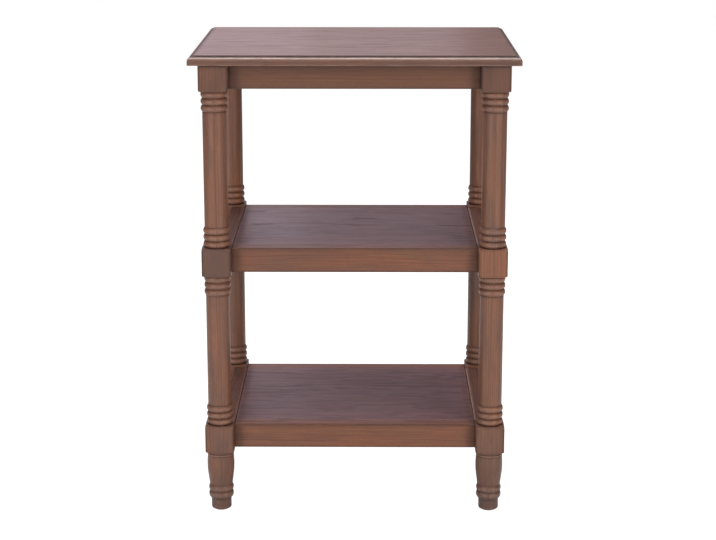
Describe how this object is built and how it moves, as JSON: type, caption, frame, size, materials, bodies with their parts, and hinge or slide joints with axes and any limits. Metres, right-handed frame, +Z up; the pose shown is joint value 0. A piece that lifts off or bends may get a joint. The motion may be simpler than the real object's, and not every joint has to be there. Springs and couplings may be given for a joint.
{
  "type": "accent table",
  "caption": "Tall wooden accent table with a moulded top, open railed shelves and turned legs with square blocks and beads.",
  "frame": {"origin": "on the floor under the middle of the top", "axes": "+X to the right seen from the front, +Y from the front to the back, +Z up"},
  "size_m": [0.46, 0.37, 0.67],
  "materials": {
    "top_wood": "brown stain under satin lacquer",
    "shelf_wood": "brown stain under satin lacquer",
    "rail_wood": "brown stain under satin lacquer",
    "leg_wood": "brown stain under satin lacquer",
    "inner_wood": "thin brown stain, matt",
    "dowel_wood": "bare beech",
    "screw_steel": "zinc plated",
    "insert_metal": "yellow passivated",
    "glide_plastic": "matt nylon"
  },
  "bodies": {
    "root": {"table_top": "top_wood", "apron_front": "rail_wood", "apron_right": "rail_wood", "apron_back": "rail_wood", "apron_left": "rail_wood", "middle_rail_front": "rail_wood", "middle_rail_right": "rail_wood", "middle_rail_back": "rail_wood", "middle_rail_left": "rail_wood", "middle_shelf_panel": "shelf_wood", "middle_cleat_front": "inner_wood", "middle_cleat_right": "inner_wood", "middle_cleat_back": "inner_wood", "middle_cleat_left": "inner_wood", "lower_rail_front": "rail_wood", "lower_rail_right": "rail_wood", "lower_rail_back": "rail_wood", "lower_rail_left": "rail_wood", "lower_shelf_panel": "shelf_wood", "lower_cleat_front": "inner_wood", "lower_cleat_right": "inner_wood", "lower_cleat_back": "inner_wood", "lower_cleat_left": "inner_wood", "upper_leg_front_left": "leg_wood", "upper_leg_front_right": "leg_wood", "upper_leg_back_right": "leg_wood", "upper_leg_back_left": "leg_wood", "middle_leg_front_left": "leg_wood", "middle_leg_front_right": "leg_wood", "middle_leg_back_right": "leg_wood", "middle_leg_back_left": "leg_wood", "foot_front_left": "leg_wood", "foot_front_right": "leg_wood", "foot_back_right": "leg_wood", "foot_back_left": "leg_wood", "corner_brace_front_left": "inner_wood", "corner_brace_front_right": "inner_wood", "corner_brace_back_right": "inner_wood", "corner_brace_back_left": "inner_wood", "apron_dowels": "dowel_wood", "middle_rail_dowels": "dowel_wood", "lower_rail_dowels": "dowel_wood", "brace_screws": "screw_steel", "top_screws": "screw_steel", "middle_rail_cleat_screws": "screw_steel", "lower_rail_cleat_screws": "screw_steel", "middle_panel_screws": "screw_steel", "lower_panel_screws": "screw_steel", "upper_joint_studs": "screw_steel", "lower_joint_studs": "screw_steel", "upper_joint_inserts": "insert_metal", "lower_joint_inserts": "insert_metal", "foot_glides": "glide_plastic"}
  },
  "joints": []
}
